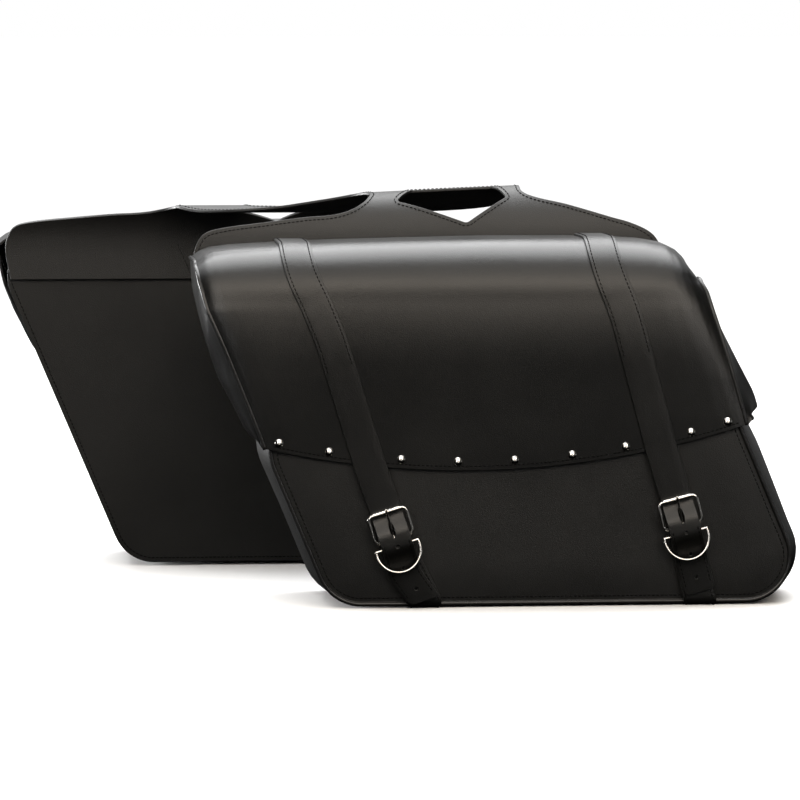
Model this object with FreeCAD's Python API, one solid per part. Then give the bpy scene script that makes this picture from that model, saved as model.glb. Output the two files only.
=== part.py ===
"""Throw-over pair of slant motorcycle saddlebags joined by one leather yoke, in millimetres.

X runs along the bags with the front of the motorcycle at -X, Y runs across the machine from
the left bag (-Y) to the right bag (+Y), and Z is up from the surface that the pair stands on.
Each part is drawn once, for the left bag, and mirrored for the right one. Inside a bag a place
is given as x from the middle of the bag, depth outwards from the back panel, and z.
"""
import FreeCAD
import Part
import math
import os
from FreeCAD import Vector

# ---- the pair ----
BAG_GAP = 230.0          # between the two back panels: the room for wheel and fender
STAGGER = 190.0          # the right bag stands this far ahead, with the yoke draped askew
BAG_MIDDLE = -7.8        # x midway between the lid's forward welt and the base's rear corner

# ---- bag body ----
LENGTH = 500.0           # along the base of the back panel
DEPTH = 150.0            # back panel face to front panel face
BASE_Z = 3.2             # bag bottom: it stands on the straps that wrap under it
TOP_Z = 356.0            # top edge of the back panel
SLANT = 0.42             # the bag's ends lean this much per unit of height
TAPER = 11.0             # the front panel is shorter than the back panel at each end
CORNER_R = 45.0
PANEL_T = 4.0
LEATHER_T = 3.0
MOUTH_Z = 305.0          # top of the front panel and of the end walls, under the lid
UPRIGHT_Z = 150.0        # above this the forward end wall stands upright, clear of the lid
WELT_R = 2.0
BOARD_T = 3.0

# ---- lid ----
HINGE_D = 18.0           # lid bending line, outwards from the back panel
HINGE_Z = 366.0
LID_TOP_Z = 368.0
LID_BEND_R = 60.0
LID_FACE_D = 155.0       # outer face of the lid's front drop
LID_EDGE = ((-240.0, 161.0), (-30.0, 138.0), (242.0, 181.0))   # lower edge, an arc
STUD_X = (-226.0, -176.0, -104.0, -47.0, 10.0, 68.0, 122.0, 188.0, 225.0)
STUD_RISE = 9.0          # stud centres above the lid's lower edge
STUD_R = 4.6
STUD_H = 2.6

# ---- straps and hardware ----
STRAP_W = 32.0
STRAP_T = 3.0
HEEL_D = 160.1           # depth of the buckle's heel bar
BUCKLE_RISE = 28.0       # heel bar to top bar
BUCKLE_HALF = 19.8
BUCKLE_WIRE = 1.7
TOP_BAR_OUT = 1.4        # top bar stands this much further out than the heel bar
ROLLER_R = 2.6
ROLLER_LENGTH = 28.0
RING_R = 22.3            # D-ring wire centre radius
RING_WIRE = 1.6
RING_BAR_DROP = 8.0      # heel bar to the D-ring's straight bar
RING_CHORD = 4.4         # straight bar above the centre of the D-ring's round
RING_LEAN = 11.0         # degrees that the strap's tail pushes the hanging D-ring out
TONGUE_R = 1.2
HOLE_R = 2.0
HOLE_PITCH = 24.0
SNAP_DROP = 15.0         # heel bar to the hidden press stud

# Each strap: x at the back of the lid, at the lid's shoulder and at the tail's end, then the
# heel bar's x and z, the tail end's z and the buckle's tilt in degrees.
STRAPS = {
    "front": {"back": -211.0, "shoulder": -191.0, "tail": -80.0, "heel": (-111.0, 71.0),
              "end_z": 8.0, "tilt": 17.5},
    "rear": {"back": 101.0, "shoulder": 121.0, "tail": 198.0, "heel": (180.0, 81.0),
             "end_z": 14.0, "tilt": 14.5},
}

# ---- yoke ----
CROWN_Z = 405.0          # top of the yoke where it passes over the fender
YOKE_SEAM_Z = 308.0      # lower edge of the yoke's side on the back panel
NECK = (-121.0, 36.0)    # the yoke's narrow part
FOLD_GAP = 3.0           # between the two halves' solids at the bending line
CUTOUT = ((-89.0, 17.0), (-24.0, 378.0))   # its long side's ends, and its point
CUTOUT_INBOARD = 14.0    # how far the cut-out reaches over the crown
RIVETS = ((-271.0, 318.0), (150.0, 318.0))


def at(x, depth, z):
    """Place in the left bag -> place in the row frame."""
    return Vector(x - BAG_MIDDLE + STAGGER / 2, -BAG_GAP / 2 - depth, z)


def outward(amount):
    return Vector(0, -amount, 0)


def rounded(corners, depth, closed=True):
    """Wire of straight edges with rounded corners; corners are (x, z, radius)."""
    count = len(corners)
    points = []
    for i, (x, z, radius) in enumerate(corners):
        here = Vector(x, 0, z)
        is_end = not closed and i in (0, count - 1)
        if is_end or radius == 0:
            points.append((here, here, here))
            continue
        back = Vector(corners[i - 1][0], 0, corners[i - 1][1]) - here
        ahead = Vector(corners[(i + 1) % count][0], 0, corners[(i + 1) % count][1]) - here
        half = back.getAngle(ahead) / 2
        reach = radius / math.tan(half)
        middle = (back.normalize() + ahead.normalize()).normalize()
        centre = here + middle * (radius / math.sin(half))
        points.append((here + back * reach, centre - middle * radius, here + ahead * reach))
    edges = []
    for i, (start, crest, end) in enumerate(points):
        if start != end:
            arc = [at(p.x, depth, p.z) for p in (start, crest, end)]
            edges.append(Part.Arc(*arc).toShape())
        if closed or i < count - 1:
            ahead = points[(i + 1) % count][0]
            edges.append(Part.makeLine(at(end.x, depth, end.z), at(ahead.x, depth, ahead.z)))
    return Part.Wire(edges)


def plate(corners, depth, thickness):
    """Flat panel parallel to the back panel."""
    return Part.Face(rounded(corners, depth)).extrude(outward(thickness))


def turned_out(solid):
    """The same solid with its faces turned outwards."""
    if solid.Volume < 0:
        solid.reverse()
    return solid


def solid_through(sections):
    """Flat-sided solid through four-cornered sections."""
    faces = [Part.Face(Part.makePolygon(s + s[:1])) for s in (sections[0], sections[-1])]
    for here, there in zip(sections, sections[1:]):
        for i in range(4):
            j = (i + 1) % 4
            for loop in ((here[i], here[j], there[j]), (here[i], there[j], there[i])):
                faces.append(Part.Face(Part.makePolygon(list(loop) + [loop[0]])))
    return turned_out(Part.Solid(Part.Shell(faces)).removeSplitter())


def band(path, low, high, thickness, lean=None):
    """Sheet that follows a (depth, z) path, from x=low to x=high at each of its points.

    lean lifts the x=high side of each section by that much and lowers the other side.
    """
    lean = lean or [0] * len(path)
    sections = []
    for i, (depth, z) in enumerate(path):
        before = path[max(i - 1, 0)]
        after = path[min(i + 1, len(path) - 1)]
        runs = [(depth - before[0], z - before[1]), (after[0] - depth, after[1] - z)]
        units = [(r[0] / math.hypot(*r), r[1] / math.hypot(*r)) for r in runs if math.hypot(*r)]
        normals = [(-u[1], u[0]) for u in units]
        total = (sum(n[0] for n in normals), sum(n[1] for n in normals))
        size = math.hypot(*total)
        normal = (total[0] / size, total[1] / size)
        mitre = thickness / (normal[0] * normals[0][0] + normal[1] * normals[0][1])
        outer = (depth + normal[0] * mitre, z + normal[1] * mitre)
        lift = Vector(0, 0, lean[i])
        sections.append([at(low[i], depth, z) - lift, at(high[i], depth, z) + lift,
                         at(high[i], *outer) + lift, at(low[i], *outer) - lift])
    return solid_through(sections)


def tube(wire, radius):
    """Round wire or bead along a path of lines and tangent arcs."""
    edge = wire.Edges[0]
    start = edge.valueAt(edge.FirstParameter)
    tangent = edge.tangentAt(edge.FirstParameter)
    circle = Part.Wire(Part.makeCircle(radius, start, tangent))
    return wire.makePipeShell([circle], True, False)


def dome(radius, height):
    """Low round cap standing on Z=0."""
    ball_r = (radius ** 2 + height ** 2) / (2 * height)
    ball = Part.makeSphere(ball_r, Vector(0, 0, height - ball_r))
    return ball.common(Part.makeCylinder(radius, height))


def outline(inset, top, upright, radius):
    """The slanted bag outline, inset at its ends; the forward end can stand upright at the top."""
    low_x = -(LENGTH - SLANT * (TOP_Z - BASE_Z)) / 2 + inset
    high_x = low_x + LENGTH - 2 * inset
    rise = top - BASE_Z
    corners = [(low_x, BASE_Z, radius), (high_x, BASE_Z, radius),
               (high_x - SLANT * rise, top, 0 if upright else 30)]
    if upright:
        knee_x = low_x - SLANT * (UPRIGHT_Z - BASE_Z)
        corners += [(knee_x, top, 0), (knee_x, UPRIGHT_Z, 0)]
    else:
        corners.append((low_x - SLANT * rise, top, radius))
    return corners


def shrink(corners, amount):
    """Move a body outline's slanted ends and its base inwards by the amount."""
    middle = sum(c[0] for c in corners) / len(corners)
    reach = amount * math.hypot(1, SLANT)
    moved = []
    for x, z, radius in corners:
        step = reach if x < middle else -reach
        lift = amount if z == BASE_Z else 0
        moved.append((x + step - SLANT * lift, z + lift, max(radius - amount, 0)))
    return moved


# ---- bag body ----

def back_panel():
    panel = plate(outline(0, TOP_Z, False, CORNER_R), 0, PANEL_T)
    reach = HINGE_D - 1
    lip = [(0, TOP_Z - 6), (PANEL_T, TOP_Z - 6), (reach, HINGE_Z - 4.5), (reach, HINGE_Z - 1),
           (0, TOP_Z + 1.5), (0, TOP_Z - 6)]
    profile = Part.Face(Part.makePolygon([at(-280, d, z) for d, z in lip]))
    return panel.fuse(profile.extrude(Vector(440, 0, 0))).removeSplitter()


def front_panel():
    corners = shrink(outline(TAPER, MOUTH_Z, True, CORNER_R), 2 * WELT_R + 0.4)
    return plate(corners, DEPTH - PANEL_T + 0.2, PANEL_T - 0.2)


def gusset():
    back_d = PANEL_T + 0.2
    front_d = DEPTH - PANEL_T
    back = outline(0, MOUTH_Z, True, CORNER_R)
    front = outline(TAPER, MOUTH_Z, True, CORNER_R)
    outer = turned_out(Part.makeLoft([rounded(back, back_d), rounded(front, front_d)], True, True))
    # the hollow runs past both rims and out of the mouth
    spread = TAPER / (front_d - back_d)
    reach = 2.0
    hollow_back = [(x, z + (reach if z == MOUTH_Z else 0), r) for x, z, r in
                   shrink(outline(-spread * reach, MOUTH_Z, True, CORNER_R), LEATHER_T)]
    hollow_front = [(x, z + (reach if z == MOUTH_Z else 0), r) for x, z, r in
                    shrink(outline(TAPER + spread * reach, MOUTH_Z, True, CORNER_R), LEATHER_T)]
    rims = [rounded(hollow_back, back_d - reach), rounded(hollow_front, front_d + reach)]
    hollow = turned_out(Part.makeLoft(rims, True, True))
    return outer.cut(hollow)


def body_welt():
    inset = WELT_R + 0.2
    corners = shrink(outline(TAPER, MOUTH_Z, True, CORNER_R), inset)
    low, high = corners[0], corners[1]
    rise = UPRIGHT_Z - 12 - low[1]
    path = [(low[0] - SLANT * rise, low[1] + rise, 0), low, high,
            (high[0] - SLANT * rise, high[1] + rise, 0)]
    return tube(rounded(path, DEPTH - WELT_R + 0.1, closed=False), WELT_R - 0.1)


def back_board():
    corners = shrink(outline(0, MOUTH_Z - 6, True, CORNER_R), 12)
    return plate(corners, PANEL_T + 0.6, BOARD_T)


def base_board():
    low = BASE_Z + LEATHER_T + 0.4
    board = Part.makeBox(360, DEPTH - 26, BOARD_T)
    board.translate(at(-118, DEPTH - 12, low))
    return board


# ---- lid ----

def lid_path(offset, start_d, end_z):
    """Outer face of the lid moved out by offset, from its back edge over the bend and down."""
    bend_d = LID_FACE_D - LID_BEND_R
    bend_z = LID_TOP_Z - LID_BEND_R
    radius = LID_BEND_R + offset
    start_z = HINGE_Z + (start_d - HINGE_D) / (bend_d - HINGE_D) * (LID_TOP_Z - HINGE_Z)
    path = [(start_d, start_z + offset)]
    for degrees in range(90, -1, -15):
        turn = math.radians(degrees)
        path.append((bend_d + radius * math.cos(turn), bend_z + radius * math.sin(turn)))
    path.append((LID_FACE_D + offset, end_z))
    return path


def blend_ends(path, back, bend, drop, end):
    """x at each point of a lid path: back edge, start and end of the bend, lower end."""
    turns = len(path) - 2
    steps = [bend + (drop - bend) * i / (turns - 1) for i in range(turns)]
    return [back] + steps + [end]


def lid_edge_z(x):
    """Height of the lid's lower edge, on the circle through its three points."""
    (x1, z1), (x2, z2), (x3, z3) = LID_EDGE
    twice = 2 * ((x2 - x1) * (z3 - z1) - (x3 - x1) * (z2 - z1))
    square = [px ** 2 + pz ** 2 for px, pz in LID_EDGE]
    a, b = square[1] - square[0], square[2] - square[0]
    centre_x = (a * (z3 - z1) - b * (z2 - z1)) / twice
    centre_z = ((x2 - x1) * b - (x3 - x1) * a) / twice
    radius = math.hypot(x1 - centre_x, z1 - centre_z)
    return centre_z - math.sqrt(radius ** 2 - (x - centre_x) ** 2)


def below_lid_edge():
    """Everything under the lid's curved lower edge."""
    steps = [(x, lid_edge_z(x)) for x in range(-270, 281, 25)]
    loop = [at(x, 100, z) for x, z in steps]
    loop += [at(280, 100, 60), at(-270, 100, 60), loop[0]]
    return Part.Face(Part.makePolygon(loop)).extrude(outward(100))


def lid():
    path = lid_path(-LEATHER_T, HINGE_D + 1, 120)
    low = blend_ends(path, -313, -311, -290, -231)
    high = blend_ends(path, 201, 198, 212, 266)
    return band(path, low, high, LEATHER_T).cut(below_lid_edge())


def lid_welt():
    path = lid_path(-LEATHER_T, HINGE_D + 1, 120)
    width = 2 * WELT_R
    low = blend_ends(path, -313, -311, -290, -231)
    high = blend_ends(path, 201, 198, 212, 266)
    seam = 0.1
    front = band(path, [x - width for x in low], [x - seam for x in low], width)
    rear = band(path, [x + seam for x in high], [x + width for x in high], width)
    return Part.makeCompound([front.cut(below_lid_edge()), rear.cut(below_lid_edge())])


def lid_flap(lean, flare, corner, thickness, back_z, front_z):
    """End flap of the lid, flared a little away from the bag towards the back."""
    x0, z0 = corner
    inner = lid_path(-LEATHER_T - 0.2, HINGE_D + 3, front_z)
    profile = inner + [(HINGE_D + 8, back_z)]
    loop = [at(x0 - lean * (z - z0) + flare * (DEPTH - d), d, z) for d, z in profile]
    return Part.Face(Part.makePolygon(loop + [loop[0]])).extrude(Vector(thickness, 0, 0))


def front_flap():
    return lid_flap(0.31, -0.03, (-244, 165), -LEATHER_T, 270, 170)


def rear_flap():
    return lid_flap(0.30, 0.05, (247, 181), LEATHER_T, 275, 188)


def lid_studs():
    studs = []
    for x in STUD_X:
        stud = dome(STUD_R, STUD_H)
        stud.rotate(Vector(0, 0, 0), Vector(1, 0, 0), 90)
        stud.translate(at(x, LID_FACE_D, lid_edge_z(x) + STUD_RISE))
        studs.append(stud)
    return Part.makeCompound(studs)


# ---- straps and hardware ----

def strap_frame(spec):
    """Strap frame -> row frame: across the strap, up along it, outwards, from the heel bar."""
    tilt = math.radians(spec["tilt"])
    c, s = math.cos(tilt), math.sin(tilt)
    origin = at(spec["heel"][0], HEEL_D, spec["heel"][1])
    return FreeCAD.Matrix(c, -s, 0, origin.x, 0, 0, -1, origin.y, s, c, 0, origin.z, 0, 0, 0, 1)


def rod(start, end, radius):
    return Part.makeCylinder(radius, (end - start).Length, start, end - start)


def along(spec, rise, out):
    """(x, depth, z) of a point on the strap's middle line, from its rise above the heel bar."""
    tilt = math.radians(spec["tilt"])
    return (spec["heel"][0] - rise * math.sin(tilt), HEEL_D + out,
            spec["heel"][1] + rise * math.cos(tilt))


def strap(spec):
    """Sewn over the lid, under the roller, over the heel bar, behind the D-ring, to its tail."""
    over_lid = lid_path(0.2, HINGE_D + 6, lid_edge_z(spec["shoulder"] + 50) + 6)
    bend_x = spec["back"] + 5
    lid_end_z = over_lid[-1][1]
    share = (over_lid[-2][1] - lid_end_z) / (over_lid[-2][1] - spec["heel"][1])
    lid_end_x = spec["shoulder"] + (spec["heel"][0] - spec["shoulder"]) * share
    middle = blend_ends(over_lid, spec["back"], bend_x, spec["shoulder"], lid_end_x)
    # inner face on the buckle: clear of the front panel, out over the chape, back under the ring
    inner = [(BUCKLE_RISE, -4.9), (22, -4.7), (10, 2.8), (2, 4.5), (-12, 4.5), (-25, -1.4),
             (-36, -5.0)]
    free = [along(spec, rise, out) for rise, out in inner]
    tail = (spec["tail"], DEPTH + 3.5, spec["end_z"])
    path = over_lid + [(d, z) for x, d, z in free + [tail]]
    middle = middle + [x for x, d, z in free + [tail]]
    tilt = math.radians(spec["tilt"])
    level = STRAP_W / 2 / math.cos(tilt)
    square = STRAP_W / 2 * math.cos(tilt)
    halves = [level] * len(over_lid) + [square] * len(free) + [level]
    lean = [0] * len(over_lid) + [STRAP_W / 2 * math.sin(tilt)] * len(free) + [0]
    low = [x - half for x, half in zip(middle, halves)]
    high = [x + half for x, half in zip(middle, halves)]
    body = band(path, low, high, STRAP_T, lean)
    cuts = [Part.makeBox(5, 21, 20, Vector(-2.5, -3, -8)).transformed(strap_frame(spec))]
    for row in range(1, 3):
        hole = Part.makeCylinder(HOLE_R, 30, Vector(0, 17 - (row + 1) * HOLE_PITCH, -15))
        cuts.append(hole.transformed(strap_frame(spec)))
    return body.cut(Part.makeCompound(cuts))


def anchor(spec):
    """Strap sewn up the front panel and wrapped under the bag, which stands on it."""
    top = along(spec, 2, 0)
    outer_d = DEPTH + 0.3
    middle = [top[0], spec["tail"], spec["tail"]]
    half = STRAP_W / 2 / math.cos(math.radians(spec["tilt"]))
    sections = []
    corners = [((outer_d, top[2]), (outer_d + STRAP_T, top[2])),
               ((outer_d, STRAP_T), (outer_d + STRAP_T, 0)),
               ((20, STRAP_T), (20, 0))]
    for x, (inner, outer) in zip(middle, corners):
        sections.append([at(x - half, *inner), at(x + half, *inner),
                         at(x + half, *outer), at(x - half, *outer)])
    return solid_through(sections)


def buckle(spec):
    """Round-wire frame, tilted so that its top bar clears the strap."""
    r = 5.0
    lean = math.degrees(math.atan2(TOP_BAR_OUT, BUCKLE_RISE))
    w, h, k = BUCKLE_HALF, BUCKLE_RISE, r * (1 - math.sqrt(0.5))
    line = Part.makeLine
    loop = [line(Vector(0, 0, 0), Vector(w - r, 0, 0)),
            Part.Arc(Vector(w - r, 0, 0), Vector(w - k, k, 0), Vector(w, r, 0)).toShape(),
            line(Vector(w, r, 0), Vector(w, h - r, 0)),
            Part.Arc(Vector(w, h - r, 0), Vector(w - k, h - k, 0), Vector(w - r, h, 0)).toShape(),
            line(Vector(w - r, h, 0), Vector(0, h, 0))]
    half = tube(Part.Wire(loop), BUCKLE_WIRE)
    other = half.mirror(Vector(0, 0, 0), Vector(1, 0, 0))
    frame = half.fuse(other).removeSplitter()
    frame.rotate(Vector(0, 0, 0), Vector(1, 0, 0), lean)
    return frame.transformed(strap_frame(spec))


def roller(spec):
    start = Vector(-ROLLER_LENGTH / 2, BUCKLE_RISE, TOP_BAR_OUT)
    end = start + Vector(ROLLER_LENGTH, 0, 0)
    sleeve = rod(start, end, ROLLER_R).cut(rod(start, end, BUCKLE_WIRE + 0.2))
    return sleeve.transformed(strap_frame(spec))


def tongue(spec):
    """Prong looped round the heel bar, its tip on the roller."""
    loop_r = BUCKLE_WIRE + 0.15 + TONGUE_R
    loop = Part.makeTorus(loop_r, TONGUE_R, Vector(0, 0, 0), Vector(1, 0, 0))
    tip = Vector(0, BUCKLE_RISE + 2.6, TOP_BAR_OUT + ROLLER_R + TONGUE_R + 0.8)
    prong = rod(Vector(0, loop_r, 0.6), tip, TONGUE_R).fuse(Part.makeSphere(TONGUE_R, tip))
    return loop.fuse(prong).removeSplitter().transformed(strap_frame(spec))


def d_ring(spec):
    """Welded D-ring; its straight bar lies in the chape and its round hangs over the tail."""
    bar_y = -RING_BAR_DROP
    centre = Vector(0, bar_y - RING_CHORD, 0)
    half = math.sqrt(RING_R ** 2 - RING_CHORD ** 2)
    arc = Part.Arc(Vector(half, bar_y, 0), centre - Vector(0, RING_R, 0), Vector(-half, bar_y, 0))
    bow = tube(Part.Wire(arc.toShape()), RING_WIRE)
    bar = rod(Vector(-half, bar_y, 0), Vector(half, bar_y, 0), RING_WIRE)
    ends = [Part.makeSphere(RING_WIRE, Vector(side * half, bar_y, 0)) for side in (-1, 1)]
    ring = bow.fuse([bar] + ends).removeSplitter()
    ring.rotate(Vector(0, bar_y, 0), Vector(1, 0, 0), -RING_LEAN)
    return ring.transformed(strap_frame(spec))


def chape(spec):
    """Leather folded over the heel bar and the D-ring's bar; its back carries the press stud."""
    inner_r = BUCKLE_WIRE + 0.4
    outer_r = inner_r + 1.8
    half = STRAP_W / 2 - 1
    back_drop = 24.0
    front_drop = 12.0
    width = Vector(2 * half, 0, 0)

    def leaf(radius):
        points = [Vector(-half, -back_drop, -radius), Vector(-half, 0, -radius)]
        tip = [Vector(-half, radius, 0), Vector(-half, 0, radius),
               Vector(-half, -back_drop, radius)]
        edges = [Part.makeLine(points[0], points[1]), Part.Arc(points[1], *tip[:2]).toShape(),
                 Part.makeLine(tip[1], tip[2]), Part.makeLine(tip[2], points[0])]
        return Part.Face(Part.Wire(edges)).extrude(width)

    fold = leaf(outer_r).cut(leaf(inner_r))
    slot = Part.makeBox(6, 12, 20, Vector(-3, -6, -10))
    spare = Part.makeBox(4 * half, 30, 10, Vector(-2 * half, -30 - front_drop, 0))
    return fold.cut(slot).cut(spare).transformed(strap_frame(spec))


def snap_socket(spec):
    """Spring socket of the press stud, on the back of the chape."""
    back = -(BUCKLE_WIRE + 0.4 + 1.8)
    ring = Part.makeCylinder(6, 2.0, Vector(0, -SNAP_DROP, back - 2.0))
    bore = Part.makeCylinder(3.3, 4.0, Vector(0, -SNAP_DROP, back - 3.0))
    return ring.cut(bore).transformed(strap_frame(spec))


def snap_stud(spec):
    """Post of the press stud, on the anchor strap."""
    face = DEPTH + 0.3 + STRAP_T - HEEL_D
    post = Part.makeCylinder(2.4, 2.4, Vector(0, -SNAP_DROP, face))
    flange = Part.makeCylinder(5, 0.4, Vector(0, -SNAP_DROP, face))
    return post.fuse(flange).transformed(strap_frame(spec))


# ---- yoke ----

def yoke(skew_to):
    """One half of the yoke: its side on the back panel, the shoulder and half of the crown.

    skew_to is -1 where the crown runs forwards to the other bag and 1 where it runs back.
    """
    left, right = NECK
    side_line = [(-298, YOKE_SEAM_Z), (-303, 345), (-290, 362), (-231, 377), (-180, 384),
                 (-146, 388), (-130, 396), (left, CROWN_Z), (right, CROWN_Z), (83, 397),
                 (147, 378), (170, 366), (180, 352), (192, YOKE_SEAM_Z)]
    side = plate([(x, z, 0) for x, z in side_line], -LEATHER_T - 0.2, LEATHER_T)
    shoulder_d = -LEATHER_T - 0.2
    middle_d = -(BAG_GAP - FOLD_GAP) / 2
    shift = skew_to * STAGGER / 2
    under = CROWN_Z - LEATHER_T
    corners = [at(left, shoulder_d, under), at(right, shoulder_d, under),
               at(right + shift, middle_d, under), at(left + shift, middle_d, under)]
    crown = Part.Face(Part.makePolygon(corners + corners[:1])).extrude(Vector(0, 0, LEATHER_T))
    (low_x, high_x), (point_x, point_z) = CUTOUT
    triangle = [(low_x, CROWN_Z + 5, 0), (low_x, CROWN_Z - LEATHER_T, 0), (point_x, point_z, 0),
                (high_x, CROWN_Z - LEATHER_T, 0), (high_x, CROWN_Z + 5, 0)]
    cut = plate(triangle, -CUTOUT_INBOARD, CUTOUT_INBOARD + 5)
    return side.fuse(crown).removeSplitter().cut(cut)


def yoke_rivets():
    """Rivets that clamp the yoke's side to the back panel, heads towards the wheel."""
    rivets = []
    for x, z in RIVETS:
        head = dome(5.5, 2.2)
        head.rotate(Vector(0, 0, 0), Vector(1, 0, 0), -90)
        head.translate(at(x, -LEATHER_T - 0.2, z))
        rivets.append(head)
    return Part.makeCompound(rivets)


def left_bag():
    """Every part of the left bag, by name."""
    parts = {"back_panel": back_panel(), "front_panel": front_panel(), "gusset": gusset(),
             "body_welt": body_welt(), "back_board": back_board(), "base_board": base_board(),
             "lid": lid(), "lid_welt": lid_welt(), "lid_flap_front": front_flap(),
             "lid_flap_rear": rear_flap(), "lid_studs": lid_studs(),
             "yoke_rivets": yoke_rivets()}
    per_strap = {"strap": strap, "anchor": anchor, "buckle": buckle, "roller": roller,
                 "tongue": tongue, "d_ring": d_ring, "chape": chape}
    for place, spec in STRAPS.items():
        for name, make in per_strap.items():
            parts[name + "_" + place] = make(spec)
    pairs = {"snap_sockets": snap_socket, "snap_studs": snap_stud}
    for name, make in pairs.items():
        parts[name] = Part.makeCompound([make(spec) for spec in STRAPS.values()])
    return parts


def mirrored(shape):
    """The same part on the right bag."""
    other = shape.mirror(Vector(0, 0, 0), Vector(0, 1, 0))
    other.translate(Vector(-STAGGER, 0, 0))
    return other


def write_parts():
    os.makedirs("parts", exist_ok=True)
    pairs = {name: (shape, mirrored(shape)) for name, shape in left_bag().items()}
    pairs["yoke"] = (yoke(-1), mirrored(yoke(1)))
    for name, both in pairs.items():
        for side, solid in zip(("left", "right"), both):
            solids = solid.Solids
            whole = solids[0] if len(solids) == 1 else Part.makeCompound(solids)
            whole.exportStep("parts/" + side + "_" + name + ".step")


write_parts()
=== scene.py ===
"""Throw-over pair of slanted leather motorcycle saddlebags on one shared yoke.

Places in a bag are (x, depth, z) in millimetres: x from the middle of the bag towards its
rear, depth outwards from its back panel, and z up from the ground that the pair stands on.
"""
import math

import bpy
import numpy as np
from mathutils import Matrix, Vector
from mathutils.geometry import delaunay_2d_cdt


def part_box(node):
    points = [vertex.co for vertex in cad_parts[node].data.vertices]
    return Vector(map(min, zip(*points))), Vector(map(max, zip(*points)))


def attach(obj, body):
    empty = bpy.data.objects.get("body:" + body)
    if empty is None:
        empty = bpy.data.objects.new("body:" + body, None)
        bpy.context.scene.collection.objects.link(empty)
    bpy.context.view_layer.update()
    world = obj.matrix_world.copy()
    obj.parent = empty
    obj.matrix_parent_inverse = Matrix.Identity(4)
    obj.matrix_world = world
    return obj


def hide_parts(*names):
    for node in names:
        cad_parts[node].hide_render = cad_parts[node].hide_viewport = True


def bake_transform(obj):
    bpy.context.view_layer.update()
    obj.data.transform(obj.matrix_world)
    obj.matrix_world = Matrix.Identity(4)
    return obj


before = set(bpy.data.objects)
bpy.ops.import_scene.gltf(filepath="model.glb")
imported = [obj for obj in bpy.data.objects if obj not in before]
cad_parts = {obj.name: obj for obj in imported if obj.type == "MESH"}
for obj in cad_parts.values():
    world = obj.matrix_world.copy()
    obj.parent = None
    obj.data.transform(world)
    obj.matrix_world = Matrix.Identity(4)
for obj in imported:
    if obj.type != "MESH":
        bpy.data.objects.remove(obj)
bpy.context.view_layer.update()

# ---- Black bag leather -------------------------------------------------------------------
# The bags are cut from smooth, finely pebbled chrome-tanned cowhide with a semi-gloss top
# coat. Its flesh side is brushed and dull, and the cut edges are painted black.
GRAIN_CELLS = 620.0       # pebbles per metre
PORE_CELLS = 1900.0


def node(tree, kind, **settings):
    new = tree.nodes.new("ShaderNode" + kind)
    for name, value in settings.items():
        if name.startswith("in_"):
            new.inputs[name[3:].replace("_", " ")].default_value = value
        else:
            setattr(new, name, value)
    return new


def ramp(tree, source, stops):
    """Colour ramp on a grey value; stops are (place, colour)."""
    new = tree.nodes.new("ShaderNodeValToRGB")
    tree.links.new(source, new.inputs["Fac"])
    for i, (position, colour) in enumerate(stops):
        stop = new.color_ramp.elements[i] if i < 2 else new.color_ramp.elements.new(position)
        stop.position = position
        stop.color = (*colour, 1)
    return new.outputs["Color"]


def leather(name, dark, light, gloss, dullness, relief):
    """Pebbled leather; roughness wanders between gloss and dullness."""
    material = bpy.data.materials.new(name)
    material.use_nodes = True
    tree = material.node_tree
    shader = tree.nodes["Principled BSDF"]
    where = node(tree, "TexCoord").outputs["Object"]
    clouds = node(tree, "TexNoise", in_Scale=9.0, in_Detail=5.0, in_Roughness=0.55)
    pebbles = node(tree, "TexVoronoi", feature="DISTANCE_TO_EDGE", in_Scale=GRAIN_CELLS)
    pores = node(tree, "TexNoise", in_Scale=PORE_CELLS, in_Detail=2.0)
    for texture in (clouds, pebbles, pores):
        tree.links.new(where, texture.inputs["Vector"])
    tone = ramp(tree, clouds.outputs["Fac"], [(0.32, dark), (0.72, light)])
    tree.links.new(tone, shader.inputs["Base Color"])
    polish = ramp(tree, clouds.outputs["Fac"], [(0.3, (gloss,) * 3), (0.7, (dullness,) * 3)])
    tree.links.new(polish, shader.inputs["Roughness"])
    creases = ramp(tree, pebbles.outputs["Distance"], [(0.0, (0, 0, 0)), (0.22, (1, 1, 1))])
    height = node(tree, "Math", operation="MULTIPLY_ADD")
    height.inputs[1].default_value = 0.35
    tree.links.new(pores.outputs["Fac"], height.inputs[0])
    tree.links.new(creases, height.inputs[2])
    bump = node(tree, "Bump", in_Strength=relief, in_Distance=0.00022)
    tree.links.new(height.outputs[0], bump.inputs["Height"])
    tree.links.new(bump.outputs["Normal"], shader.inputs["Normal"])
    shader.inputs["Specular IOR Level"].default_value = 0.5
    return material


BODY_GRAIN = leather("body_leather", (0.0034, 0.0035, 0.0033), (0.0062, 0.0063, 0.0060),
                     0.38, 0.46, 0.30)
LID_GRAIN = leather("lid_leather", (0.0016, 0.0016, 0.0014), (0.0030, 0.0030, 0.0027),
                    0.28, 0.34, 0.24)
STRAP_GRAIN = leather("strap_leather", (0.0020, 0.0020, 0.0018), (0.0036, 0.0036, 0.0033),
                      0.31, 0.38, 0.28)
YOKE_GRAIN = leather("yoke_leather", (0.009, 0.009, 0.009), (0.015, 0.015, 0.0145),
                     0.46, 0.54, 0.3)
PIPING = leather("piping_leather", (0.010, 0.010, 0.010), (0.016, 0.016, 0.016),
                 0.22, 0.30, 0.12)
FLESH = leather("flesh_side", (0.014, 0.014, 0.014), (0.022, 0.022, 0.0215),
                0.62, 0.72, 0.5)
PAINTED_EDGE = leather("painted_edge", (0.010, 0.010, 0.010), (0.016, 0.016, 0.016),
                       0.30, 0.42, 0.25)

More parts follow.
